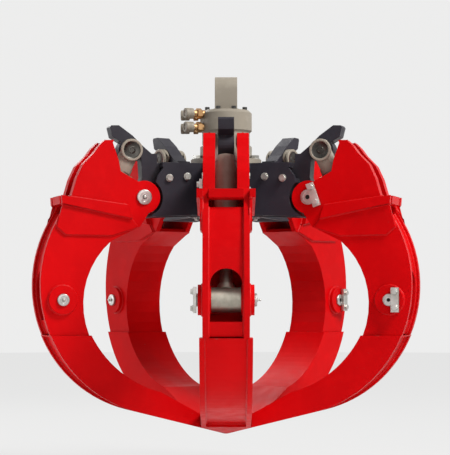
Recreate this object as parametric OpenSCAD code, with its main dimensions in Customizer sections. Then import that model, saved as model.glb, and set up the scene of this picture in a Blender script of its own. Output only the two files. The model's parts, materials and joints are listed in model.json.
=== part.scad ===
// Hydraulic scrap grab with five curved tines that close like an orange peel.
// Each tine swings on a pin at the end of a hub arm and is worked by its own
// cylinder, which lies inside the tine between the arm's horn and a pin low down.
// The hub hangs under a rotator, and the rotator hangs from one cross pin.
// Origin: centre of the bore for that cross pin, which runs along X. Z is up.
// Profiles are drawn with x as the distance from the grab's axis and y as the
// height above the level of the cylinders' lower pins.

/* [Tine] */
// Width over the two side plates
tine_w = 144; // [138:1:152]
// Thickness of a side plate
side_t = 18; // [14:1:20]
// Width of the slot between the rim strips that the horn passes
slot_w = 68; // [64:1:76]
// Thickness of a rim strip
rim_t = 15; // [10:1:20]
// Thickness of the inner plate that faces the load
inner_t = 12; // [8:1:13]
// Thickness of the outer plate
outer_t = 12; // [8:1:14]
// Depth of the outer plate below the edges of the side plates
recess = 12; // [6:1:16]
// Outer radius of the pivot lug
lug_rad = 55; // [50:1:57]
// Thickness of the lug's doubler inside the side plate
lug_t = 18; // [14:1:19]
// Width over the collar
collar_w = 181; // [176:1:190]
// Thickness of the doubler plate below the collar
doubler_t = 8; // [5:1:10]
// Radius of the boss at the lower pin
boss_rad = 47; // [44:1:52]
// Width over the two bosses
boss_w = 173; // [168:1:180]
// Radius of the arch at the top of the window
window_rad = 49; // [44:1:52]

/* [Point] */
// Width over the lower section
point_w = 164; // [160:1:172]
// Thickness of its side plates
point_side_t = 16; // [12:1:18]
// Thickness of the plate that closes its top
deck_t = 16; // [12:1:20]
// Thickness of the edge at the tip
nose_t = 14; // [10:1:18]
// Length of the plain nose below the recessed underside
nose_l = 125; // [110:1:140]
// Gap between two neighbouring tines when closed
tine_gap = 3; // [2:0.5:5]

/* [Places] */
// Distance of the tine's pivot from the axis
pivot_r = 308; // [304:1:312]
// Height of the pivot above the lower pin
pivot_h = 340; // [337:1:343]
// Distance of the cylinder's upper pin from the axis
base_r = 343; // [341:1:345]
// Height of the cylinder's upper pin
base_h = 498; // [496:1:500]
// Distance of the lower pin from the axis
rod_r = 583; // [580:1:586]
// Height that the cheek's outline follows above the pivot
cheek_h = 200; // [196:1:204]
// Distance from the cheek's reach out to the lower pin
cheek_back = 25; // [22:1:28]
// Distance from the lower pin out to the tine's outer curve
rod_cover = 72; // [70:1:74]
// Radius of the tine's outer curve
outer_rad = 432; // [429:1:434]
// Height of that curve's centre
outer_cy = 50; // [47:1:53]
// How much less the inner curve's radius is
inner_less = 159; // [156:1:162]
// Distance from the lower pin in to the inner curve
rod_back = 70; // [68:1:72]
// Depth of that curve's centre
inner_cy = 12; // [9:1:15]
// How much less the radius of the lower section's inner curve is
point_less = 67; // [64:1:70]
// Distance from the lower pin in to that curve
point_back = 56; // [53:1:59]
// Depth at which the lower section begins
point_top = 116; // [112:1:120]
// Distance of the tip's edge from the axis
tip_r = 5.959; // [4:0.001:8]

/* [Pins] */
// Diameter of the tine's pivot pin
pivot_d = 50; // [46:1:54]
// Diameter of the cylinder's two pins
pin_d = 40; // [36:1:42]
// Wall of a bush in the hub
bush_t = 5; // [3:0.5:6]
// Radial clearance of a pin in its bore
fit = 0.05; // [0.03:0.01:0.08]
// Length of a pin beyond what it holds
pin_out = 6; // [4:1:10]
// Width of a keeper bar
keeper_w = 26; // [22:1:30]
// Length of a keeper bar
keeper_l = 80; // [72:1:84]
// Thickness of a keeper bar
keeper_t = 10; // [8:1:12]
// Thread diameter of a keeper bolt
keeper_d = 10; // [8:1:12]

/* [Cylinder] */
// Outside diameter of the barrel
barrel_d = 78; // [74:1:79]
// Bore of the barrel
bore_d = 62; // [58:1:64]
// Distance from the upper pin to the lower end of the barrel
barrel_l = 322; // [314:1:326]
// Diameter of the rod
piston_rod_d = 40; // [34:1:42]
// Width of the rod's eye
eye_w = 91; // [84:1:96]
// Outside diameter of the rod's eye
eye_d = 77; // [72:1:80]
// Radius of the ears that hold the upper pin
ear_rad = 38; // [37:1:40]
// Thickness of an ear
ear_t = 13; // [10:1:14]
// Length of the gland
gland_l = 34; // [28:1:38]
// Thickness of the piston
piston_t = 26; // [20:1:30]
// Distance from the upper pin to the first union
port_first = 84; // [82:1:90]
// Distance between the two unions
port_apart = 156; // [150:1:160]

/* [Hub] */
// Thickness of an arm's horn and tongue
horn_w = 51; // [46:1:54]
// Width over an arm's side plates
arm_w = 138; // [130:1:142]
// Thickness of an arm's side plates
arm_t = 15; // [12:1:18]
// Thickness of the top plate
top_t = 17; // [14:1:20]
// Thickness of the bottom plate
bottom_t = 15; // [12:1:18]
// Height of the top plate's upper face
top_h = 458; // [455:1:461]
// Height of the bottom plate's lower face
bottom_h = 290; // [288:1:294]
// Gap between the lug and the arm's side plates
lug_gap = 10; // [8:1:12]
// Radius of the hub's centre tube
core_rad = 112; // [108:1:118]
// Wall of the centre tube
core_t = 16; // [12:1:20]
// Height of the cup below the hub
cup_h = 28; // [20:1:32]
// Radius of that cup
cup_rad = 84; // [76:1:90]

/* [Rotator] */
// Diameter of the rotator's body
rotator_d = 176; // [170:1:182]
// Height of the body above the flange
rotator_l = 168; // [160:1:176]
// Diameter of the flange that turns
flange_d = 240; // [236:2:250]
// Thickness of that flange
flange_t = 18; // [14:1:22]
// Diameter of the flange's bolt circle
flange_pcd = 206; // [200:1:208]
// Thread diameter of the flange's bolts
bolt_d = 16; // [14:1:18]
// Number of flange bolts
flange_bolt_count = 10; // [6:1:12]
// Width of the neck across the cross pin
neck_w = 76; // [70:1:84]
// Outside radius of the eye for the cross pin
link_rad = 44; // [42:1:48]
// Diameter of the cross pin's bore
link_d = 45; // [40:1:50]
// Height of the cross pin above the body, the running gap included
neck_h = 72; // [68:1:96]

/* [Hidden] */
// Number of tines round the hub
tine_count = 5;
// Angle from one tine to the next
step = 360 / tine_count;
// Direction of the first tine
first_angle = -90;
ids = [for (i = [0 : tine_count - 1]) i];
tine_pieces = ["tine_frame", "tine_point", "tine_pivot_pin", "tine_rod_pin", "tine_keepers",
    "cylinder_barrel", "cylinder_ports", "cylinder_base_pin", "cylinder_gland", "cylinder_rod"];

// Overrun of a cut past the face it opens
over = 2;
// Gap between curved faces of different moving pieces
clear = 0.3;
// Play of a seat that does not turn
seat = 0.1;
$fn = 72;

// Colours as they look in daylight
red = [0.80, 0.06, 0.07];
dark = [0.20, 0.19, 0.23];
beige = [0.66, 0.62, 0.54];
silver = [0.78, 0.78, 0.76];
brass = [0.72, 0.52, 0.24];

function polar(c, rad, a) = c + rad * [cos(a), sin(a)];
function arc(c, rad, a0, a1, n) = [for (k = [0 : n]) polar(c, rad, a0 + (a1 - a0) * k / n)];
function reversed(list) = [for (k = [len(list) - 1 : -1 : 0]) list[k]];
// Angle on a circle at which its right half reaches a height
function angle_at(c, rad, h) = asin((h - c[1]) / rad);

// Pins of a tine in its profile, and the cylinder's line between its two pins
pivot = [pivot_r, pivot_h];
base = [base_r, base_h];
rod_at = [rod_r, 0];
axis_run = rod_at - base;
axis_len = norm(axis_run);
lean = atan2(axis_run[0], -axis_run[1]);
half_tine = tine_w / 2;
inside_w = tine_w - 2 * side_t;
// Height of the cross pin above the lower pins
link_h = top_h + flange_t + rotator_l + neck_h;

// Curves of the tine: outer, inner, and the lower section's inner one
outer_c = [rod_r + rod_cover - outer_rad, outer_cy];
inner_rad = outer_rad - inner_less;
inner_c = [rod_r - rod_back - inner_rad, -inner_cy];
point_rad = outer_rad - point_less;
point_c = [rod_r - point_back - point_rad, outer_cy];

// Underside of the lower section: the outer curve runs out into a straight line
tail_angle = -75.6;
tail_dir = [cos(tail_angle - 90), sin(tail_angle - 90)];
tail_start = polar(outer_c, outer_rad, tail_angle);
tail_len = (tip_r - tail_start[0]) / tail_dir[0];
tip = tail_start + tail_len * tail_dir;

// Outlines above the curves, in shares of the cheek's reach and height, from the pivot
cheek_l = rod_r - pivot_r - cheek_back;
cheek_top_shares = [
    [0.532, 0.93],
    [0.608, 0.84],
    [0.688, 0.705],
    [0.828, 0.525],
    [0.912, 0.3],
    [0.976, 0.025]];
cheek_inner_shares = [
    [0.428, 0.885],
    [0.348, 0.6],
    [0.32, 0.42],
    [0.176, 0.32]];
cheek_corner_share = [0.416, 0.935];
cheek_end_share = [1.048, -0.13];
rim_end_share = [1.016, -0.015];
// Collar: its outer edge from above to below, then its inner edge from below to above
collar_shares = [
    [1.128, 0.005],
    [1.12, -0.13],
    [0.176, -0.36],
    [0.232, -0.14]];
neck_share = [0.056, -0.49];
lug_low_share = [-0.096, -0.2];
lug_high_share = [-0.008, 0.2];
// Doubler below the collar: upper end, two corners from the shoulder, and the rest from the pivot
doubler_start_share = [1.104, -0.12];
doubler_corner_shares = [
    [-0.032, 0],
    [-0.152, -0.13]];
doubler_end_shares = [
    [0.448, -0.64],
    [0.096, -0.5],
    [0.184, -0.35]];

function in_cheek(share) = [share[0] * cheek_l, share[1] * cheek_h];
function on_cheek(shares) = [for (share = shares) pivot + in_cheek(share)];

collar = on_cheek(collar_shares);
shoulder_angle = 26;
shoulder = polar(outer_c, outer_rad, shoulder_angle);
neck = on_cheek([neck_share]);
// Angle at which the inner curve leaves for the neck
inner_start = 49;
split_angle = angle_at(outer_c, outer_rad, -point_top);
split_in_angle = angle_at(inner_c, inner_rad, -point_top);
point_in_angle = angle_at(point_c, point_rad, -point_top);

upper_outer = arc(outer_c, outer_rad, shoulder_angle, split_angle, 14);
upper_inner = arc(inner_c, inner_rad, split_in_angle, inner_start, 9);
tine_outline = concat(
    on_cheek([cheek_corner_share]),
    on_cheek(cheek_top_shares),
    on_cheek([cheek_end_share]),
    upper_outer,
    upper_inner,
    neck,
    on_cheek([lug_low_share, lug_high_share]),
    reversed(on_cheek(cheek_inner_shares)));

// A strip that follows the outer curve between two depths below it
function belt(d0, d1, a0, a1, n) =
    concat(arc(outer_c, outer_rad - d0, a0, a1, n), reversed(arc(outer_c, outer_rad - d1, a0, a1, n)));
// A strip that follows a path of points at two depths to its side
function lowered(path, d) = [for (k = [0 : len(path) - 1])
    let (a = path[max(k - 1, 0)], b = path[min(k + 1, len(path) - 1)], t = (b - a) / norm(b - a))
    path[k] + d * [t[1], -t[0]]];
function strip(path, d0, d1) = concat(lowered(path, d0), reversed(lowered(path, d1)));

// Draws a profile between two distances to the keeper's side of the middle plane
module slab(w0, w1) {
    rotate([90, 0, 0]) translate([0, 0, w0]) linear_extrude(w1 - w0) children();
}

module middle(w) {
    slab(-w / 2, w / 2) children();
}

module both_sides() {
    children();
    mirror([0, 1, 0]) children();
}

// A round bar across the middle plane at a point of the profile
module bar(at, rad, w0, w1) {
    slab(w0, w1) translate(at) circle(rad);
}

// Moves a tine's pieces from the profile's frame to their place on the grab
module at_tine(i) {
    rotate([0, 0, first_angle + i * step]) translate([0, 0, -link_h]) children();
}

module at_all() {
    for (i = ids) at_tine(i) children();
}

// Washer and hexagon head for a thread diameter
module hex_bolt(d) {
    washer_t = d * washer_t_share;
    cylinder(r = d * washer_share / 2, h = washer_t);
    translate([0, 0, washer_t]) cylinder(r = d * across_share / sqrt(3), h = d * head_share, $fn = 6);
}

washer_t_share = 0.18;
washer_share = 2.1;
across_share = 1.6;
head_share = 0.65;

// Tine

module window_outline(grow = 0) {
    translate([0, rod_at[1]]) {
        circle(window_rad + grow);
        translate([-window_rad - grow, -window_drop - grow])
            square([2 * (window_rad + grow), window_drop + grow]);
    }
}

// Depth of the window below its arch's centre, and that centre's height
window_drop = 112;
window_rise = 46;
// Angle past the shoulder at which the outer plate ends
back_past = 8;

module tine_sides() {
    both_sides() slab(half_tine - side_t, half_tine) {
        polygon(tine_outline);
        circle_at(pivot, lug_rad);
    }
}

module tine_back() {
    middle(inside_w)
        polygon(belt(recess, recess + outer_t, shoulder_angle + back_past, split_angle, 15));
}

module tine_window() {
    translate([rod_r, 0, window_rise]) rotate([90, 0, 90]) linear_extrude(outer_rad) window_outline();
}

module tine_inner() {
    middle(inside_w) polygon(strip(concat(upper_inner, neck), 0, inner_t));
}

module tine_frame(i) {
    color(red) at_tine(i) tine_frame_solid();
}

module tine_frame_solid() {
    rim_path = on_cheek(concat(cheek_top_shares, [rim_end_share]));
    inward = [collar_deep, collar_deep * collar_fall_share];
    difference() {
        union() {
            tine_sides();
            difference() {
                tine_back();
                tine_window();
            }
            tine_inner();
            both_sides() {
                slab(slot_w / 2, half_tine - side_t) polygon(strip(rim_path, 0, rim_t));
                slab(half_tine - side_t - lug_t, half_tine - side_t) tine_lug_doubler();
                slab(half_tine, collar_w / 2) polygon(collar);
                slab(half_tine, half_tine + doubler_t) tine_side_doubler();
                bar(rod_at, boss_rad, half_tine, boss_w / 2);
                bar(rod_at, boss_rad, eye_w / 2 + clear, half_tine - side_t);
            }
            middle(inside_w) polygon([collar[0], collar[1], collar[1] - inward, collar[0] - inward]);
        }
        bar(pivot, pivot_d / 2 + fit, -tine_w, tine_w);
        bar(rod_at, pin_d / 2 + fit, -tine_w, tine_w);
        middle(collar_w) translate([0, -point_top - outer_rad]) square([2 * outer_rad, outer_rad]);
    }
}

// Depth of the collar's cross bar, and its fall over that depth
collar_deep = 34;
collar_fall_share = 0.2;

module tine_lug_doubler() {
    circle_at(pivot, lug_rad);
}

module tine_side_doubler() {
    polygon(concat(
        on_cheek([doubler_start_share]),
        [for (share = doubler_corner_shares) shoulder + in_cheek(share)],
        on_cheek(doubler_end_shares)));
}

module circle_at(at, rad) {
    translate(at) circle(rad);
}

// The lower section, a closed box that narrows to the tip
module point_outline() {
    polygon(concat(
        arc(outer_c, outer_rad, split_angle, tail_angle, 16),
        [tip, tip + [0, nose_t]],
        arc(point_c, point_rad, tail_angle, point_in_angle, 14)));
}

module point_hollow() {
    a0 = angle_at(outer_c, outer_rad - recess - outer_t, -point_top - deck_t);
    a1 = angle_at(point_c, point_rad + inner_t, -point_top - deck_t);
    polygon(concat(
        arc(outer_c, outer_rad - recess - outer_t, a0, tail_angle, 16),
        arc(point_c, point_rad + inner_t, tail_angle, a1, 14)));
}

module point_recess() {
    depth = outer_rad - recess;
    a0 = split_angle - recess_back;
    tail = (tail_len - nose_l) * tail_dir;
    edge = polar(outer_c, outer_rad + over, tail_angle);
    floor_end = polar(outer_c, depth, tail_angle);
    polygon(concat(
        arc(outer_c, outer_rad + over, a0, tail_angle, 16),
        [edge + tail, floor_end + tail],
        arc(outer_c, depth, tail_angle, a0, 16)));
}

// Angle between the lower section's top and the start of its recess
recess_back = 0.5;

module tine_point(i) {
    color(red) at_tine(i) tine_point_solid();
}

module sector(h) {
    reach = rod_r + rod_cover;
    back = tine_gap / 2 / sin(step / 2);
    translate([back, 0, 0]) linear_extrude(h)
        polygon([[0, 0], polar([0, 0], 2 * reach, -step / 2), polar([0, 0], 2 * reach, step / 2)]);
}

module tine_point_solid() {
    low = -outer_rad - link_h;
    intersection() {
        difference() {
            middle(point_w) point_outline();
            middle(point_w - 2 * point_side_t) point_hollow();
            middle(point_w - 2 * point_side_t) point_recess();
        }
        translate([0, 0, low]) sector(-low);
    }
}

module tine_pivot_pin(i) {
    color(silver) at_tine(i) {
        bar(pivot, pivot_d / 2, -half_tine - pin_out, half_tine + keeper_seat);
    }
}

// Stand-off of a keeper bar from the plate, on the pin's end
keeper_seat = 4;

module tine_rod_pin(i) {
    color(silver) at_tine(i) {
        bar(rod_at, pin_d / 2, -boss_w / 2 - pin_out, boss_w / 2 + keeper_seat);
    }
}

// A bar that grips a flat on the pin's end, with two bolts
module keeper(at, away, tilt, face) {
    translate([at[0], -face, at[1]]) rotate([90, 0, 0]) rotate([0, 0, tilt]) translate([away, 0, 0]) {
        translate([-keeper_w / 2, -keeper_l / 2, 0]) cube([keeper_w, keeper_l, keeper_t]);
        for (end = [-1, 1])
            translate([0, end * keeper_l * keeper_bolt_share, keeper_t]) hex_bolt(keeper_d);
    }
}

// Distance of a keeper bar from the pin's axis, and its tilt at the pivot
keeper_away = 22;
keeper_tilt = 19;
keeper_bolt_share = 0.32;

module tine_keepers(i) {
    color(silver) at_tine(i) {
        keeper(rod_at, keeper_away, 0, boss_w / 2 + keeper_seat);
        keeper(pivot, keeper_away, keeper_tilt, half_tine + keeper_seat);
    }
}

// Cylinder, drawn along its own axis: x runs from the upper pin to the lower pin
module on_axis(i) {
    at_tine(i) translate([base_r, 0, base_h]) rotate([0, 90 - lean, 0]) children();
}

// Side play of the ears on the horn
ear_play = 0.6;
ear_gap = horn_w / 2 + ear_play;
// Length of the cap, and how far the ears reach from the upper pin
cap_l = 20;
ear_l = 76;
cap_at = ear_l - cap_l;
barrel_rad = barrel_d / 2;
// Height of the band round the gland's end
band_t = 1.5;
band_share = 0.6;

module tube(x0, x1, rad) {
    translate([x0, 0, 0]) rotate([0, 90, 0]) cylinder(r = rad, h = x1 - x0);
}

module cylinder_barrel(i) {
    color(beige) on_axis(i) {
        difference() {
            union() {
                tube(cap_at, barrel_l, barrel_rad);
                intersection() {
                    for (side = [-1, 1])
                        translate([0, side * (ear_gap + ear_t / 2), 0]) ear_plate();
                    translate([-ear_rad - over, 0, 0]) rotate([0, 90, 0])
                        cylinder(r = barrel_rad + over, h = ear_l + ear_rad + over);
                }
                tube(barrel_l - gland_l * band_share, barrel_l, barrel_rad + band_t);
            }
            tube(ear_l + cap_l, barrel_l + over, bore_d / 2);
            for (at = port_places) translate([at, 0, -barrel_rad - over])
                cylinder(r = port_d / 2 + seat, h = port_sink + over);
            rotate([90, 0, 0]) cylinder(r = pin_d / 2 + fit, h = barrel_d + 2 * over, center = true);
            translate([-ear_rad - over, -ear_gap, -barrel_rad - over])
                cube([ear_rad + over + cap_at, 2 * ear_gap, 2 * (barrel_rad + over)]);
        }
    }
}

module ear_plate() {
    rotate([90, 0, 0]) translate([0, 0, -ear_t / 2]) linear_extrude(ear_t) {
        circle(ear_rad);
        translate([0, -ear_rad]) square([ear_l, 2 * ear_rad]);
    }
}

module cylinder_base_pin(i) {
    half = ear_gap + ear_t;
    color(silver) on_axis(i) rotate([90, 0, 0]) {
        cylinder(r = pin_d / 2, h = 2 * half, center = true);
        for (side = [-1, 1])
            translate([0, 0, side * (half + cap_ring / 2)])
                difference() {
                    cylinder(r = ear_rad * cap_share, h = cap_ring, center = true);
                    translate([0, 0, side * cap_ring / 2])
                        cylinder(r = pin_d * cap_bore_share, h = cap_ring, center = true);
                }
    }
}

// Thickness of the ring at each end of the upper pin
cap_ring = 5;
cap_share = 0.72;
cap_bore_share = 0.32;

// Screwed unions and a short pipe on the side of the barrel that faces the grab's axis
module cylinder_ports(i) {
    color(brass) on_axis(i) {
        for (at = port_places) translate([at, 0, -barrel_rad + port_sink]) mirror([0, 0, 1]) port(port_d);
        translate([port_places[0], 0, -barrel_rad - port_d * port_pipe_share])
            rotate([0, 90, 0]) cylinder(r = port_d * port_pipe_rad_share, h = port_places[1] - port_places[0]);
    }
}

// Diameter of a union, its seat in the barrel, and the unions' places from the upper pin
port_d = 17;
port_sink = 3;
port_places = [port_first, port_first + port_apart];
port_pipe_share = 0.5;
port_pipe_rad_share = 0.22;
port_neck_share = 0.5;
port_nut_share = 0.62;
port_nut_at_share = 0.3;

module port(d) {
    cylinder(r = d / 2, h = d * port_neck_share);
    translate([0, 0, d * port_nut_at_share]) cylinder(r = d * port_nut_share, h = d * port_neck_share, $fn = 6);
}

module cylinder_gland(i) {
    color(silver) on_axis(i) difference() {
        union() {
            tube(barrel_l - gland_l, barrel_l, bore_d / 2 - seat);
            tube(barrel_l, barrel_l + gland_lip, barrel_rad - band_t);
        }
        tube(barrel_l - gland_l - over, barrel_l + gland_lip + over, piston_rod_d / 2 + fit);
    }
}

// Lip of the gland outside the barrel
gland_lip = 9;
// Gap between the piston and the gland when the tines are closed
piston_gap = 5;
// Collar where the rod enters its eye
eye_out_share = 0.62;
eye_in_share = 0.4;
eye_neck_share = 0.36;

module cylinder_rod(i) {
    piston_end = barrel_l - gland_l - piston_gap;
    color(silver) on_axis(i) difference() {
        union() {
            tube(piston_end - piston_t, piston_end, bore_d / 2 - fit);
            tube(piston_end - over, axis_len, piston_rod_d / 2);
            translate([axis_len, 0, 0]) rotate([90, 0, 0])
                cylinder(r = eye_d / 2, h = eye_w, center = true);
            tube(axis_len - eye_d * eye_out_share, axis_len - eye_d * eye_in_share, eye_d * eye_neck_share);
        }
        translate([axis_len, 0, 0]) rotate([90, 0, 0])
            cylinder(r = pin_d / 2 + fit, h = eye_w + 2 * over, center = true);
    }
}

// Hub

// Slot for the upper pin: half its rise, its set-back and its clearance
horn_slot_rise = 11;
horn_slot_back = 1.5;
horn_slot_clear = 2.6;
// Radius of the cut round the lug, of the tongue and of the horn's round
arm_arc = lug_rad + lug_gap;
tongue_rad = 48;
horn_rad = 41;
// Drop of the side plates below the bottom plate
arm_drop = 14;
// Size that the outlines of the horn and the side plates follow
horn_size = 100;
tongue_low_shares = [
    [-0.62, -0.38],
    [-0.4, -0.26]];
tongue_high_share = [-0.06, 0.7];
horn_tip_shares = [
    [0.62, 0.44],
    [0.7, 0.76],
    [0.66, 0.82],
    [0.4, 0.83],
    [-0.07, 0.5],
    [-0.45, 0.14],
    [-0.73, -0.09],
    [-0.92, -0.09]];
// Angles on the horn's round between which its outline follows it
horn_from = 208;
horn_to = 400;
// Set-back of the side plates' end from the pivot: low, at the corner and at the top
arm_back_shares = [0.27, 0.48, 0.68];
arm_corner_share = 0.44;

// Middle plate of an arm: tongue round the pivot and horn up to the cylinder's pin
module horn_outline() {
    polygon(concat(
        [[core_rad - core_t, bottom_h]],
        [for (share = tongue_low_shares) pivot + horn_size * share],
        [pivot + [0, tongue_rad], pivot + horn_size * tongue_high_share],
        arc(base, horn_rad, horn_from, horn_to, 16),
        [for (share = horn_tip_shares) base + horn_size * share],
        [[base_r + horn_size * horn_tip_shares[7][0], top_h - seat],
        [core_rad - core_t, top_h - seat]]));
    circle_at(pivot, tongue_rad);
}

// Side plates of an arm, cut back in a curve round the lug
module arm_outline() {
    back = [for (share = arm_back_shares) pivot_r - horn_size * share];
    difference() {
        polygon([
            [0, bottom_h],
            [back[0], bottom_h - arm_drop],
            [back[0], pivot_h],
            [back[1], top_h - horn_size * arm_corner_share],
            [back[2], top_h - top_t],
            [0, top_h - top_t]]);
        circle_at(pivot, arm_arc);
    }
}

module arm_end() {
    intersection() {
        difference() {
            circle_at(pivot, arm_arc + arm_t);
            circle_at(pivot, arm_arc);
        }
        arm_outline();
    }
}

module star_plate(reach) {
    for (i = ids) rotate([0, 0, first_angle + i * step])
        translate([0, -arm_w / 2]) square([reach, arm_w]);
    circle(core_rad + core_t);
}

module hub_frame() {
    color(dark) difference() {
        union() {
            at_all() {
                middle(horn_w) horn_outline();
                both_sides() slab(arm_w / 2 - arm_t, arm_w / 2) difference() {
                    arm_outline();
                    translate([-over, 0]) square([core_rad * cos(step / 2) - arm_t, 2 * top_h]);
                }
                middle(arm_w - over) arm_end();
            }
            translate([0, 0, top_h - top_t - link_h]) linear_extrude(top_t) star_plate(pivot_r - top_back);
            translate([0, 0, bottom_h - link_h]) linear_extrude(bottom_t) star_plate(pivot_r - bottom_back);
            translate([0, 0, bottom_h - link_h]) cylinder(r = core_rad, h = top_h - bottom_h);
        }
        translate([0, 0, bottom_h - link_h - over])
            cylinder(r = core_rad - core_t, h = top_h - bottom_h - flange_t + over);
        translate([0, 0, bottom_h - link_h]) cylinder(r = shaft_rad + seat, h = top_h);
        at_all() {
            bar(pivot, pivot_d / 2 + bush_t, -horn_w, horn_w);
            horn_slot();
        }
    }
}

// Set-back of the top and the bottom plate from the pivots
top_back = 64;
bottom_back = 62;
// Radius of the shaft below the turning flange
shaft_rad = 45;

module horn_slot() {
    at = base - [horn_slot_back, 0];
    rad = pin_d / 2 + horn_slot_clear;
    for (rise = [-1, 1]) bar(at + [0, rise * horn_slot_rise], rad, -horn_w, horn_w);
    slab(-horn_w, horn_w) translate(at - [rad, horn_slot_rise]) square([2 * rad, 2 * horn_slot_rise]);
}

module hub_bushes() {
    color(brass) at_all() difference() {
        bar(pivot, pivot_d / 2 + bush_t, -bush_w / 2, bush_w / 2);
        bar(pivot, pivot_d / 2 + fit, -bush_w, bush_w);
    }
}

// Side play of a bush between the lugs
bush_play = 0.5;
bush_w = 2 * (half_tine - side_t - lug_t - bush_play);

// Bolts through the arm's side plates that hold the hoses' guards
module arm_bolts() {
    color(silver) at_all() both_sides()
        for (at = arm_bolt_places)
            translate([at[0], -arm_w / 2, at[1]]) rotate([90, 0, 0]) hex_bolt(arm_bolt_d);
}

// Thread diameter of these bolts, and their places in from the pivot and down from the top
arm_bolt_d = 12;
arm_bolt_in = 88;
arm_bolt_down = 52;
arm_bolt_pitch = 62;
arm_bolt_rise = 6;
arm_bolt_places = [
    [pivot_r - arm_bolt_in, top_h - arm_bolt_down],
    [pivot_r - arm_bolt_in - arm_bolt_pitch, top_h - arm_bolt_down + arm_bolt_rise]];

module hub_cup() {
    floor_t = bottom_t;
    color(dark) translate([0, 0, bottom_h - cup_h - link_h]) {
        cylinder(r = cup_rad, h = cup_h + floor_t);
        for (k = [0 : 5]) rotate([0, 0, k * 60]) translate([cup_rad * cup_bolt_share, 0, 0])
            mirror([0, 0, 1]) hex_bolt(arm_bolt_d);
    }
}

cup_bolt_share = 0.72;

// Rotator

module rotor_flange() {
    color(beige) translate([0, 0, top_h - link_h]) difference() {
        union() {
            cylinder(r = flange_d / 2, h = flange_t);
            translate([0, 0, -flange_t * 2]) cylinder(r = shaft_rad, h = flange_t * 3);
        }
        for (k = [0 : flange_bolt_count - 1]) rotate([0, 0, (k + 0.5) * 360 / flange_bolt_count])
            translate([flange_pcd / 2, 0, -over]) cylinder(r = bolt_d / 2 + seat, h = flange_t + 2 * over);
    }
}

module flange_bolts() {
    color(silver) translate([0, 0, top_h - link_h])
        for (k = [0 : flange_bolt_count - 1]) rotate([0, 0, (k + 0.5) * 360 / flange_bolt_count])
            translate([flange_pcd / 2, 0, 0]) {
                cylinder(r = bolt_d / 2, h = flange_t);
                translate([0, 0, flange_t]) hex_bolt(bolt_d);
            }
}

// Foot of the rotator's body
house_z = top_h + flange_t + clear - link_h;

module rotator_housing() {
    rad = rotator_d / 2;
    color(beige) difference() {
        union() {
            translate([0, 0, house_z]) rotate_extrude() polygon([
                [0, 0],
                [rad - house_edge, 0],
                [rad, house_edge],
                [rad, groove_at],
                [rad - groove_d, groove_at + groove_slope],
                [rad - groove_d, groove_at + groove_l - groove_slope],
                [rad, groove_at + groove_l],
                [rad, rotator_l - cap_edge],
                [rad - cap_edge, rotator_l],
                [neck_w / 2 + pad_out, rotator_l],
                [neck_w / 2 + pad_out, rotator_l + pad_h],
                [0, rotator_l + pad_h]]);
            translate([0, 0, house_z + rotator_l]) linear_extrude(-house_z - rotator_l)
                square([neck_w, 2 * link_rad], center = true);
            translate([-neck_w / 2, 0, 0]) rotate([0, 90, 0]) cylinder(r = link_rad, h = neck_w);
        }
        translate([-neck_w, 0, 0]) rotate([0, 90, 0]) cylinder(r = link_d / 2, h = 2 * neck_w);
        for (place = rotator_port_places) at_port(place) cylinder(r = union_rad + seat, h = union_rad);
    }
}

// Chamfers at the foot and the cap, the groove round the body and the pad under the neck
house_edge = 6;
cap_edge = 10;
groove_at = 44;
groove_l = 54;
groove_d = 7;
groove_slope = 6;
pad_out = 8;
pad_h = 6;

module rotator_cap_screws() {
    color(dark) translate([0, 0, house_z + rotator_l])
        for (k = [0 : cap_screw_count - 1]) rotate([0, 0, (k + 0.5) * 360 / cap_screw_count])
            translate([rotator_d / 2 - cap_screw_in, 0, 0]) difference() {
                cylinder(r = cap_screw_d / 2, h = cap_screw_h);
                translate([0, 0, cap_screw_h / 2])
                    cylinder(r = cap_screw_d * cap_socket_share, h = cap_screw_h, $fn = 6);
            }
}

// Cap screws: number, set-back from the body's edge, head diameter and head height
cap_screw_count = 8;
cap_screw_in = 19;
cap_screw_d = 16;
cap_screw_h = 10;
cap_socket_share = 0.2875;

module at_port(place) {
    rotate([0, 0, place[0]]) translate([rotator_d / 2 - union_sink, 0, house_z + place[1]])
        rotate([0, 90, 0]) children();
}

// Radius of a union and its seat in the body
union_rad = 13;
union_sink = 7;
// Lengths of a union: to its nut, of its nut, of its neck and of the hose's end
union_l = 14;
union_nut_l = 16;
union_neck_l = 14;
union_end_l = 18;
union_nut_share = 1.42;
union_neck_share = 0.9;
union_end_share = 1.25;
// Heights of the two rows above the body's foot, and the two directions
union_high = 153.7;
union_pitch = 46;
union_angles = [176, 206];
rotator_port_places = [for (down = [0, union_pitch]) for (angle = union_angles) [angle, union_high - down]];

// Screwed unions on the side of the rotator for the hoses from above
module rotator_ports() {
    nut_end = union_l + union_nut_l;
    color(brass) for (place = rotator_port_places) at_port(place) {
        cylinder(r = union_rad, h = union_l);
        translate([0, 0, union_l]) cylinder(r = union_rad * union_nut_share, h = union_nut_l, $fn = 6);
        translate([0, 0, nut_end]) cylinder(r = union_rad * union_neck_share, h = union_neck_l);
        translate([0, 0, nut_end + union_neck_l])
            cylinder(r = union_rad * union_end_share, h = union_end_l, $fn = 6);
    }
}

rotator_housing();
rotator_cap_screws();
rotator_ports();
rotor_flange();
flange_bolts();
hub_frame();
hub_bushes();
arm_bolts();
hub_cup();
for (i = ids) {
    tine_frame(i);
    tine_point(i);
    tine_pivot_pin(i);
    tine_rod_pin(i);
    tine_keepers(i);
    cylinder_barrel(i);
    cylinder_ports(i);
    cylinder_base_pin(i);
    cylinder_gland(i);
    cylinder_rod(i);
}
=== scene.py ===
import json
import math

import bmesh
import bpy
from mathutils import Matrix, Vector
from mathutils.bvhtree import BVHTree


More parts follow.
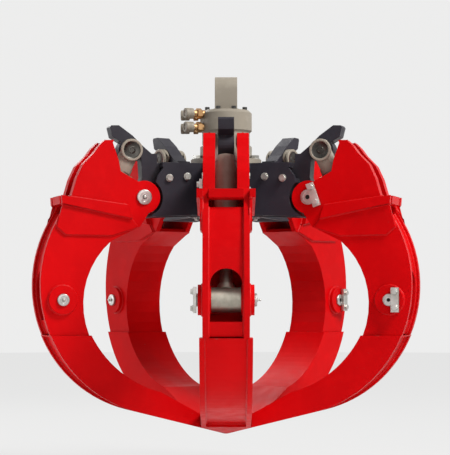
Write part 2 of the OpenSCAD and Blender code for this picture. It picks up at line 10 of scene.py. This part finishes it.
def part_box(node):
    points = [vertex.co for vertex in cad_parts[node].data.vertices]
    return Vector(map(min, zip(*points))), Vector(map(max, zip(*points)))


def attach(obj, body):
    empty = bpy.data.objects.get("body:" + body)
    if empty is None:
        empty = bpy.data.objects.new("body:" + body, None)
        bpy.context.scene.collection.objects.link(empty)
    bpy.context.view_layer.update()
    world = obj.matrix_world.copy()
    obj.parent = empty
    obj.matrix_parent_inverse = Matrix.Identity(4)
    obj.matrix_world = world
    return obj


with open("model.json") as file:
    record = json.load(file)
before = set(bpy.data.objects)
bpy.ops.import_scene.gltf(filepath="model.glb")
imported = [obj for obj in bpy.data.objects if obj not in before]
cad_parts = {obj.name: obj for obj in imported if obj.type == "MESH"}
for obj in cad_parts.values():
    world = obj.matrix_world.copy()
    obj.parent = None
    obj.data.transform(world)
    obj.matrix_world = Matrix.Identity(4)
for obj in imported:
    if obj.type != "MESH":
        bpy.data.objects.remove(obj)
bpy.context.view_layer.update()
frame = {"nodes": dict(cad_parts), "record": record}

scene = bpy.context.scene
scene.view_settings.view_transform = "Standard"
# Height of the rotator's cross pin above the cylinders' lower pins
LINK = 0.716
TINES = range(5)
STEP = math.radians(72)

# Camera: level with the lower pins, tilted up a little

LENS = 134.5
EYE = (-0.0034, -5.78, -LINK)
TILT = math.radians(2.44)

cam = bpy.data.cameras.new("camera")
cam.lens = LENS
cam.sensor_width = 36
cam.clip_end = 100
eye = bpy.data.objects.new("camera", cam)
eye.location = EYE
eye.rotation_euler = (math.pi / 2 + TILT, 0, 0)
scene.collection.objects.link(eye)
scene.camera = eye


# Materials

# Rays of a bevel or corner node for each sample
SAMPLES = 4
# Distance from the upper pin's end at which the chromed rod turns into its cast eye
CASTING_FROM = 0.545


class Shade:
    """A small helper that writes one procedural material."""

    def __init__(self, name):
        self.m = bpy.data.materials.new(name)
        self.m.use_nodes = True
        self.t = self.m.node_tree
        self.t.nodes.clear()
        self.spot = self.add("ShaderNodeTexCoord").outputs["Object"]
        self.surface = self.add("ShaderNodeBsdfPrincipled")
        out = self.add("ShaderNodeOutputMaterial")
        self.t.links.new(self.surface.outputs[0], out.inputs["Surface"])

    def put(self, socket, value):
        if isinstance(value, bpy.types.NodeSocket):
            self.t.links.new(value, socket)
        else:
            socket.default_value = value

    def add(self, kind, inputs=None, **settings):
        node = self.t.nodes.new(kind)
        for key, value in settings.items():
            setattr(node, key, value)
        for key, value in (inputs or {}).items():
            self.put(node.inputs[key], value)
        return node

    def noise(self, scale, detail=3.0, rough=0.55, stretch=None):
        at = self.spot
        if stretch:
            at = self.add("ShaderNodeMapping", {"Vector": at, "Scale": stretch}).outputs[0]
        return self.add("ShaderNodeTexNoise", {"Vector": at, "Scale": scale, "Detail": detail,
                                               "Roughness": rough}).outputs["Fac"]

    def band(self, value, low, high, to_low=0.0, to_high=1.0):
        return self.add("ShaderNodeMapRange", {"Value": value, "From Min": low, "From Max": high,
                                               "To Min": to_low, "To Max": to_high}).outputs[0]

    def math(self, operation, a, b=0.0):
        return self.add("ShaderNodeMath", {0: a, 1: b}, operation=operation, use_clamp=True).outputs[0]

    def mix(self, share, a, b):
        node = self.add("ShaderNodeMix", data_type="RGBA")
        self.put(node.inputs["Factor"], share)
        self.put(node.inputs[6], a)
        self.put(node.inputs[7], b)
        return node.outputs[2]

    def edges(self, radius, low=0.02, high=0.22):
        soft = self.add("ShaderNodeBevel", {"Radius": radius}, samples=SAMPLES).outputs[0]
        plain = self.add("ShaderNodeNewGeometry").outputs["True Normal"]
        dot = self.add("ShaderNodeVectorMath", {0: soft, 1: plain}, operation="DOT_PRODUCT").outputs["Value"]
        return self.band(self.math("SUBTRACT", 1.0, dot), low, high)

    # Ambient occlusion mask of corners and hollows: paint uses it for painted shade with some dirt, metal for rust
    def corners(self, distance):
        shade = self.add("ShaderNodeAmbientOcclusion", {"Distance": distance}, samples=SAMPLES).outputs["AO"]
        return self.band(shade, 0.75, 0.25)

    def finish(self, colour, rough, metal, level, bump, strength, depth, radius):
        s = self.surface.inputs
        self.put(s["Base Color"], colour)
        self.put(s["Roughness"], rough)
        s["Metallic"].default_value = metal
        s["Specular IOR Level"].default_value = level
        soft = self.add("ShaderNodeBevel", {"Radius": radius}, samples=SAMPLES).outputs[0]
        normal = self.add("ShaderNodeBump", {"Height": bump, "Strength": strength, "Distance": depth,
                                             "Normal": soft}).outputs[0]
        self.put(s["Normal"], normal)
        return self.m


def rgb(r, g, b):
    return (r, g, b, 1.0)


def paint(name, base, deep, light, dirt_and_shade_tone, chip, rough=0.36, level=0.22, wear=1.0, ripple=False):
    """Machine paint: slow tone change, orange peel, painted shade with some dirt darkening the corners, chips on the
    edges.
    ripple gives the coarser skin of painted weld beads."""
    s = Shade(name)
    tone = s.mix(s.band(s.noise(2.6, 2.0), 0.3, 0.7), base, deep)
    tone = s.mix(s.math("MULTIPLY", s.band(s.noise(19.0, 4.0, 0.6), 0.5, 0.75), 0.35), tone, light)
    runs = s.band(s.noise(9.0, 3.0, 0.6, (1.0, 1.0, 0.16)), 0.52, 0.74)
    tone = s.mix(s.math("MULTIPLY", runs, 0.22), tone, deep)
    # Painted shade: ambient occlusion, broken up by noise, darkens the corners and creases towards the
    # dirt_and_shade_tone colour; partly dirt, partly painted shade
    dirt_and_corner_shade = s.math("MULTIPLY", s.corners(0.05), s.band(s.noise(34.0, 4.0), 0.32, 0.68))
    tone = s.mix(s.math("MULTIPLY", dirt_and_corner_shade, 0.45), tone, dirt_and_shade_tone)
    knocks = s.math("MULTIPLY", s.edges(0.004), s.band(s.noise(60.0, 5.0, 0.7), 0.58, 0.66))
    specks = s.band(s.noise(150.0, 2.0, 0.5), 0.735, 0.765)
    bare = s.math("MULTIPLY", s.math("ADD", knocks, s.math("MULTIPLY", specks, 0.35)), wear)
    tone = s.mix(bare, tone, chip)
    matt = s.band(s.noise(24.0, 3.0), 0.3, 0.7, rough - 0.07, rough + 0.09)
    scale, strength = (190.0, 0.30) if ripple else (420.0, 0.09)
    return s.finish(tone, matt, 0.0, level, s.noise(scale, 2.0), strength, 0.001, 0.0022)


def metal(name, base, stain, rough, grain=(1.0, 1.0, 1.0), scale=220.0, rust=0.3, metallic=1.0, level=0.5,
          casting=None):
    """Machined or plated steel: fine grain along the work, faint stains and a little brown in the corners.
    From the distance in casting on, the part is a rough grey casting."""
    s = Shade(name)
    lines = s.noise(scale, 3.0, 0.6, grain)
    tone = s.mix(s.band(s.noise(28.0, 4.0), 0.35, 0.7), base, stain)
    tone = s.mix(s.math("MULTIPLY", s.corners(0.02), rust), tone, rgb(0.10, 0.055, 0.03))
    tone = s.mix(s.math("MULTIPLY", s.band(lines, 0.35, 0.7), 0.22), tone, stain)
    matt = s.band(lines, 0.3, 0.7, rough - 0.06, rough + 0.10)
    if casting:
        flat = s.add("ShaderNodeVectorMath", {0: s.spot, 1: (1.0, 1.0, 0.0)}, operation="MULTIPLY").outputs[0]
        away = s.add("ShaderNodeVectorMath", {0: flat}, operation="LENGTH").outputs["Value"]
        part = s.band(away, casting - 0.001, casting + 0.001)
        skin = s.mix(s.band(s.noise(45.0, 4.0), 0.3, 0.7), rgb(0.46, 0.43, 0.36), rgb(0.33, 0.31, 0.26))
        tone = s.mix(part, tone, skin)
        matt = s.math("ADD", matt, s.math("MULTIPLY", part, 0.30))
    return s.finish(tone, matt, metallic, level, lines, 0.16, 0.0004, 0.0012)


RED = rgb(0.74, 0.0015, 0.0035)
RED_DEEP = rgb(0.58, 0.0012, 0.0028)
RED_LIGHT = rgb(0.84, 0.004, 0.006)
LOOKS = {
    "red_paint": paint("red_paint", RED, RED_DEEP, RED_LIGHT, rgb(0.16, 0.012, 0.012), rgb(0.13, 0.10, 0.09),
                       level=0.06, wear=0.55),
    "point_paint": paint("point_paint", rgb(0.79, 0.0018, 0.0040), RED_DEEP, RED_LIGHT, rgb(0.15, 0.012, 0.012),
                         rgb(0.20, 0.17, 0.15), rough=0.40, level=0.06, wear=0.8),
    "dark_paint": paint("dark_paint", rgb(0.030, 0.027, 0.038), rgb(0.020, 0.018, 0.026), rgb(0.050, 0.046, 0.058),
                        rgb(0.060, 0.052, 0.046), rgb(0.22, 0.21, 0.21), rough=0.42, level=0.26, wear=0.6),
    "grey_paint": paint("grey_paint", rgb(0.39, 0.345, 0.28), rgb(0.29, 0.255, 0.205), rgb(0.50, 0.45, 0.38),
                        rgb(0.10, 0.085, 0.07), rgb(0.16, 0.14, 0.12), rough=0.44, level=0.3, wear=0.6),
    "pin_steel": metal("pin_steel", rgb(0.62, 0.61, 0.585), rgb(0.42, 0.41, 0.39), 0.36, scale=180.0),
    "zinc": metal("zinc", rgb(0.66, 0.65, 0.62), rgb(0.45, 0.44, 0.40), 0.40, scale=90.0, rust=0.4),
    "chrome": metal("chrome", rgb(0.70, 0.69, 0.67), rgb(0.58, 0.56, 0.53), 0.18, (1.0, 1.0, 0.08), 160.0, 0.15,
                    casting=CASTING_FROM),
    "bronze": metal("bronze", rgb(0.50, 0.30, 0.14), rgb(0.34, 0.19, 0.09), 0.46, scale=120.0, rust=0.4),
    "black_bolt": metal("black_bolt", rgb(0.060, 0.058, 0.056), rgb(0.030, 0.029, 0.028), 0.46, scale=140.0,
                        metallic=0.6),
}
RED_WELD = paint("red_weld", RED, RED_DEEP, RED_LIGHT, rgb(0.20, 0.012, 0.012), rgb(0.15, 0.11, 0.10), rough=0.42,
                 wear=0.3, ripple=True)
DARK_WELD = paint("dark_weld", rgb(0.024, 0.023, 0.031), rgb(0.014, 0.014, 0.019), rgb(0.045, 0.043, 0.052),
                  rgb(0.060, 0.052, 0.046), rgb(0.20, 0.19, 0.19), rough=0.48, level=0.26, wear=0.3, ripple=True)
# Near-black steel for the cylinder pin's end hollows: painted shade, so that the shallow hollows look deep
HOLLOW_SHADE_LOOK = metal("hollow", rgb(0.085, 0.080, 0.072), rgb(0.035, 0.033, 0.030), 0.28, scale=60.0, rust=0.6)
# Near-black paint for the pins' centre holes: painted shade, so that the shallow holes look deep
RECESS_SHADE_LOOK = paint("recess", rgb(0.020, 0.017, 0.015), rgb(0.010, 0.009, 0.009), rgb(0.045, 0.035, 0.028),
               rgb(0.060, 0.045, 0.035), rgb(0.10, 0.08, 0.07), rough=0.6, level=0.2, wear=0.3)

for row in frame["record"]["subparts"]:
    node = frame["nodes"][row["node"]]
    node.data.materials.clear()
    node.data.materials.append(LOOKS[row["material_slot"]])


# Helpers for the scene's own pieces

# Edges sharper than this stay sharp on the pieces of this script
SHARP = math.radians(32)


def turned(points, tine):
    """The points of a piece of tine 0, moved to another tine."""
    turn = Matrix.Rotation(STEP * tine, 4, "Z")
    return [turn @ Vector(p) for p in points]


def piece(name, points, faces, look, body):
    mesh = bpy.data.meshes.new(name)
    mesh.from_pydata([tuple(p) for p in points], [], faces)
    mesh.validate()
    mesh.update()
    for face in mesh.polygons:
        face.use_smooth = True
    mesh.set_sharp_from_angle(angle=SHARP)
    mesh.materials.append(look)
    obj = bpy.data.objects.new(name, mesh)
    scene.collection.objects.link(obj)
    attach(obj, body)
    return obj


def lathe(profile, centre, axis, sides=32):
    """Rings of (radius, height) about an axis through centre, closed where the radius is 0."""
    axis = Vector(axis).normalized()
    side = axis.orthogonal().normalized()
    other = axis.cross(side)
    points, faces, rings = [], [], []
    for radius, height in profile:
        ring = []
        count = 1 if radius == 0 else sides
        for k in range(count):
            a = 2 * math.pi * k / sides
            ring.append(len(points))
            points.append(Vector(centre) + axis * height + (side * math.cos(a) + other * math.sin(a)) * radius)
        rings.append(ring)
    for low, high in zip(rings, rings[1:]):
        for k in range(sides):
            a, b = low[k % len(low)], low[(k + 1) % len(low)]
            c, d = high[(k + 1) % len(high)], high[k % len(high)]
            face = [v for n, v in enumerate((a, b, c, d)) if v not in (a, b, c, d)[:n]]
            if len(face) > 2:
                faces.append(face)
    return points, faces


def join(*shapes):
    points, faces = [], []
    for more, rings in shapes:
        start = len(points)
        points += more
        faces += [[v + start for v in ring] for ring in rings]
    return points, faces


# Weld beads in the corners where the plates meet

# Least angle between two plates that are welded
WELD_ANGLE = math.radians(38)
# Height above a corner at which the test for free room starts
RAY_START = 0.004
# Directions of a bead's points about its edge
BEAD_ARC = [math.radians(a) for a in (-62, -31, 0, 31, 62)]
# Share and beat of the two ripples along a bead
RIPPLES = ((0.13, 1.9), (0.05, 0.7))
TINE_BEAD = 0.0042
HUB_BEAD = 0.0040


def seams(node, shortest, free):
    """Chains of the concave edges that can be reached from outside, as (point, direction out) lists."""
    bm = bmesh.new()
    bm.from_mesh(frame["nodes"][node].data)
    bmesh.ops.remove_doubles(bm, verts=bm.verts, dist=0.00002)
    bm.normal_update()
    tree = BVHTree.FromBMesh(bm)
    links = {}
    for edge in bm.edges:
        if len(edge.link_faces) != 2 or edge.is_convex:
            continue
        if edge.calc_face_angle(0.0) < WELD_ANGLE:
            continue
        out = (edge.link_faces[0].normal + edge.link_faces[1].normal).normalized()
        middle = (edge.verts[0].co + edge.verts[1].co) / 2
        if tree.ray_cast(middle + out * RAY_START, out, free)[0] is not None:
            continue
        for a, b in (edge.verts, reversed(edge.verts)):
            links.setdefault(a.index, []).append((b.index, out))
    bm.verts.ensure_lookup_table()
    used, chains = set(), []
    starts = [v for v, near in links.items() if len(near) != 2] + list(links)
    for start in starts:
        for first, out in links[start]:
            if (start, first) in used:
                continue
            path, here, ahead = [(bm.verts[start].co.copy(), out)], start, first
            while True:
                used.update({(here, ahead), (ahead, here)})
                path.append((bm.verts[ahead].co.copy(), out))
                onward = [(v, o) for v, o in links[ahead] if (ahead, v) not in used]
                if len(links[ahead]) != 2 or not onward:
                    break
                here, (ahead, out) = ahead, onward[0]
            length = sum((q[0] - p[0]).length for p, q in zip(path, path[1:]))
            if length > shortest:
                chains.append(path)
    bm.free()
    return chains


def beads(chains, size, pitch=0.005):
    """Rippled fillets along the chains, open to the plates they lie on."""
    points, faces = [], []
    for path in chains:
        rows = []
        for (p, out_p), (q, out_q) in zip(path, path[1:]):
            count = max(1, round((q - p).length / pitch))
            rows += [(p.lerp(q, k / count), out_p.lerp(out_q, k / count)) for k in range(count)]
        rows.append(path[-1])
        last = None
        for n, (at, out) in enumerate(rows):
            ahead = rows[min(n + 1, len(rows) - 1)][0] - rows[max(n - 1, 0)][0]
            if ahead.length < 1e-7:
                continue
            ahead.normalize()
            out = (out - ahead * out.dot(ahead)).normalized()
            side = ahead.cross(out)
            swell = size * (1 + sum(share * math.sin(n * beat) for share, beat in RIPPLES))
            ring = []
            for turn in BEAD_ARC:
                ring.append(len(points))
                points.append(at + (out * math.cos(turn) + side * math.sin(turn)) * swell)
            if last:
                faces += [[last[k], last[k + 1], ring[k + 1], ring[k]] for k in range(len(ring) - 1)]
            last = ring
    return points, faces


tine_seams = beads(seams("tine_frame_0", 0.07, 0.16), TINE_BEAD)
point_seams = beads(seams("tine_point_0", 0.07, 0.16), TINE_BEAD)
for i in TINES:
    if tine_seams[1]:
        piece(f"tine_welds_{i}", turned(tine_seams[0], i), tine_seams[1], RED_WELD, f"tine_{i}")
    if point_seams[1]:
        piece(f"point_welds_{i}", turned(point_seams[0], i), point_seams[1], RED_WELD, f"tine_{i}")
hub_seams = beads(seams("hub_frame", 0.06, 0.11), HUB_BEAD)
if hub_seams[1]:
    piece("hub_welds", hub_seams[0], hub_seams[1], DARK_WELD, "hub")

# Pins: a chamfered face with a centre hole at both ends, and a grease nipple on one

# (share of the pin's radius, height) of the face and its centre hole, and (radius, height) of the nipple
FACE = [(1.0, -0.002), (1.0, 0.0004), (0.93, 0.0022), (0.62, 0.0026), (0.58, 0.0016), (0.30, 0.0016), (0.27, 0.0008),
        (0.0, 0.0008)]
CENTRE = [(0.30, 0.0019), (0.22, 0.0012), (0.0, 0.0012)]
NIPPLE = [(0.0052, 0.0), (0.0052, 0.004), (0.0032, 0.005), (0.0030, 0.009), (0.0040, 0.0105), (0.0034, 0.0130),
          (0.0, 0.0142)]
FACE_SHARE = 0.985
NIPPLE_SEAT = 0.0006


def pin_faces(node):
    lo, hi = (Vector(c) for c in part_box(node))
    middle = (lo + hi) / 2
    radius = (hi.z - lo.z) / 2
    half = (hi.x - lo.x) / 2
    shapes, centres = [], []
    for way in (-1, 1):
        end = middle + Vector((way * half, 0, 0))
        shapes.append(lathe([(r * radius * FACE_SHARE, h) for r, h in FACE], end, (way, 0, 0)))
        centres.append(lathe([(r * radius, h) for r, h in CENTRE], end, (way, 0, 0), 24))
    nipple = lathe(NIPPLE, middle + Vector((half + NIPPLE_SEAT, 0, 0)), (1, 0, 0), 12)
    return join(*shapes), join(*centres), nipple


for pin in ("tine_pivot_pin", "tine_rod_pin"):
    caps, centres, nipple = pin_faces(f"{pin}_0")
    for i in TINES:
        piece(f"{pin}_faces_{i}", turned(caps[0], i), caps[1], LOOKS["pin_steel"], f"tine_{i}")
        # Near-black discs in the centre holes: painted shade
        piece(f"{pin}_centres_{i}", turned(centres[0], i), centres[1], RECESS_SHADE_LOOK, f"tine_{i}")
        piece(f"{pin}_nipple_{i}", turned(nipple[0], i), nipple[1], LOOKS["zinc"], f"tine_{i}")

# Cylinder's upper pin: a raised ring with a hollow at both ends, the hollow coloured near-black as painted shade, as
# (radius, height)

PIN_RING = [(0.0372, -0.0048), (0.0372, 0.0022), (0.0352, 0.0042), (0.0304, 0.0042), (0.0288, 0.0030),
            (0.0282, 0.0006)]
PIN_HOLLOW = [(0.0284, 0.0026), (0.0250, 0.0012), (0.0125, 0.0008), (0.0118, 0.0020), (0.0080, 0.0024),
              (0.0072, 0.0012), (0.0, 0.0012)]

lo, hi = (Vector(c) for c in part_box("cylinder_base_pin_0"))
at, half = (lo + hi) / 2, (hi.x - lo.x) / 2
rings, hollows = [], []
for way in (-1, 1):
    end = at + Vector((way * half, 0, 0))
    rings.append(lathe(PIN_RING, end, (way, 0, 0), 48))
    hollows.append(lathe(PIN_HOLLOW, end, (way, 0, 0), 40))
rings, hollows = join(*rings), join(*hollows)
for i in TINES:
    piece(f"base_pin_rings_{i}", turned(rings[0], i), rings[1], LOOKS["grey_paint"], f"barrel_{i}")
    piece(f"base_pin_hollows_{i}", turned(hollows[0], i), hollows[1], HOLLOW_SHADE_LOOK, f"barrel_{i}")

# Ring that bolts the cup to the underside of the hub

FOOT_HEIGHT = 0.290
CUP_RING = [(0.0838, -0.0115), (0.1180, -0.0115), (0.1205, -0.0090), (0.1205, -0.0004), (0.0838, -0.0004)]
WASHER = [(0.0095, 0.0), (0.0095, 0.0012), (0.0088, 0.0016), (0.0, 0.0016)]
HEAD = [(0.0078, 0.0014), (0.0078, 0.0070), (0.0070, 0.0080), (0.0, 0.0080)]
BOLT_CIRCLE = 0.1035
BOLT_DROP = 0.0112

foot = Vector((0, 0, FOOT_HEIGHT - LINK))
cup_ring = lathe(CUP_RING, foot, (0, 0, 1), 72)
piece("cup_ring", cup_ring[0], cup_ring[1], LOOKS["dark_paint"], "hub")
heads = []
for k in range(12):
    a = math.radians(15 + 30 * k)
    at = foot + Vector((BOLT_CIRCLE * math.cos(a), BOLT_CIRCLE * math.sin(a), -BOLT_DROP))
    heads.append(lathe(WASHER, at, (0, 0, -1), 20))
    heads.append(lathe(HEAD, at, (0, 0, -1), 6))
heads = join(*heads)
piece("cup_ring_bolts", heads[0], heads[1], LOOKS["zinc"], "hub")

# Crimped ferrules with plugs on the rotator's unions

FERRULE = [(0.0163, -0.018), (0.0178, -0.017), (0.0178, -0.004), (0.0170, -0.002), (0.0178, 0.0), (0.0178, 0.009),
           (0.0168, 0.011), (0.0110, 0.0112), (0.0108, 0.0085), (0.0, 0.0085)]
UNION_ANGLES = (176, 206)
UNION_HEIGHTS = (0.630, 0.584)
UNION_REACH = 0.143

ferrules = []
for angle in UNION_ANGLES:
    for height in UNION_HEIGHTS:
        a = math.radians(angle)
        way = Vector((math.cos(a), math.sin(a), 0))
        ferrules.append(lathe(FERRULE, way * UNION_REACH + Vector((0, 0, height - LINK)), way, 28))
ferrules = join(*ferrules)
piece("union_ferrules", ferrules[0], ferrules[1], LOOKS["grey_paint"], "rotator")

# Stage: pale floor and plain surround

BACK = rgb(0.846, 0.846, 0.843)
FLOOR_COLOUR = rgb(0.84, 0.84, 0.835)
FLOOR_LEVEL = -1.32
FLOOR_RADIUS = 14
FLOOR_SIDES = 48
# Share of the plain background tone in the floor
FLOOR_SHARE = 0.90
SKY_COLOUR = rgb(0.97, 0.98, 1.0)
SKY_STRENGTH = 0.17


def by_ray(tree, kinds, lit, seen, output, share):
    """Output of the shader lit, and of seen, in that share, for the named kinds of rays."""
    rays = tree.nodes.new("ShaderNodeLightPath")
    factor = rays.outputs[kinds[0]]
    for kind in kinds[1:]:
        either = tree.nodes.new("ShaderNodeMath")
        either.operation = "MAXIMUM"
        tree.links.new(factor, either.inputs[0])
        tree.links.new(rays.outputs[kind], either.inputs[1])
        factor = either.outputs[0]
    part = tree.nodes.new("ShaderNodeMath")
    part.operation = "MULTIPLY"
    part.inputs[1].default_value = share
    blend = tree.nodes.new("ShaderNodeMixShader")
    last = tree.nodes.new(output)
    tree.links.new(factor, part.inputs[0])
    tree.links.new(part.outputs[0], blend.inputs[0])
    tree.links.new(lit.outputs[0], blend.inputs[1])
    tree.links.new(seen.outputs[0], blend.inputs[2])
    tree.links.new(blend.outputs[0], last.inputs["Surface"])


floor_mesh = bpy.data.meshes.new("floor")
turns = [2 * math.pi * k / FLOOR_SIDES for k in range(FLOOR_SIDES)]
rim = [(FLOOR_RADIUS * math.cos(a), FLOOR_RADIUS * math.sin(a), FLOOR_LEVEL) for a in turns]
floor_mesh.from_pydata(rim, [], [list(range(FLOOR_SIDES))])
floor = bpy.data.objects.new("floor", floor_mesh)
scene.collection.objects.link(floor)
ground = bpy.data.materials.new("floor")
ground.use_nodes = True
tree = ground.node_tree
tree.nodes.clear()
shadow = tree.nodes.new("ShaderNodeBsdfDiffuse")
shadow.inputs["Color"].default_value = FLOOR_COLOUR
glow = tree.nodes.new("ShaderNodeEmission")
glow.inputs["Color"].default_value = BACK
by_ray(tree, ("Is Camera Ray", "Is Glossy Ray"), shadow, glow, "ShaderNodeOutputMaterial", FLOOR_SHARE)
floor_mesh.materials.append(ground)

world = bpy.data.worlds.new("studio")
scene.world = world
world.use_nodes = True
tree = world.node_tree
tree.nodes.clear()
soft = tree.nodes.new("ShaderNodeBackground")
soft.inputs["Color"].default_value = SKY_COLOUR
soft.inputs["Strength"].default_value = SKY_STRENGTH
back = tree.nodes.new("ShaderNodeBackground")
back.inputs["Color"].default_value = BACK
by_ray(tree, ("Is Camera Ray", "Is Glossy Ray", "Is Transmission Ray"), soft, back, "ShaderNodeOutputWorld", 1.0)


def lamp(name, place, aim, width, level, tint=(1.0, 1.0, 1.0)):
    """A soft box whose level is the share of a facing surface's colour that it gives at the aim."""
    light = bpy.data.lights.new(name, "AREA")
    light.shape = "SQUARE"
    light.size = width
    light.color = tint
    reach = Vector(aim) - Vector(place)
    light.energy = level * math.pi ** 2 * reach.length ** 2
    obj = bpy.data.objects.new(name, light)
    obj.location = place
    obj.rotation_euler = reach.to_track_quat("-Z", "Y").to_euler()
    scene.collection.objects.link(obj)


MIDDLE = (0, 0, -0.6)
WARM = (1.0, 0.985, 0.96)
COOL = (0.96, 0.98, 1.0)
lamp("key", (3.4, -2.6, 4.0), MIDDLE, 1.7, 0.94, WARM)
lamp("front", (1.6, -5.0, 1.0), MIDDLE, 2.4, 0.12)
lamp("fill", (-4.4, 0.5, 0.5), MIDDLE, 2.4, 0.30, COOL)
lamp("rim", (-1.4, 3.2, 1.8), (0, 0, -0.5), 1.8, 0.30)
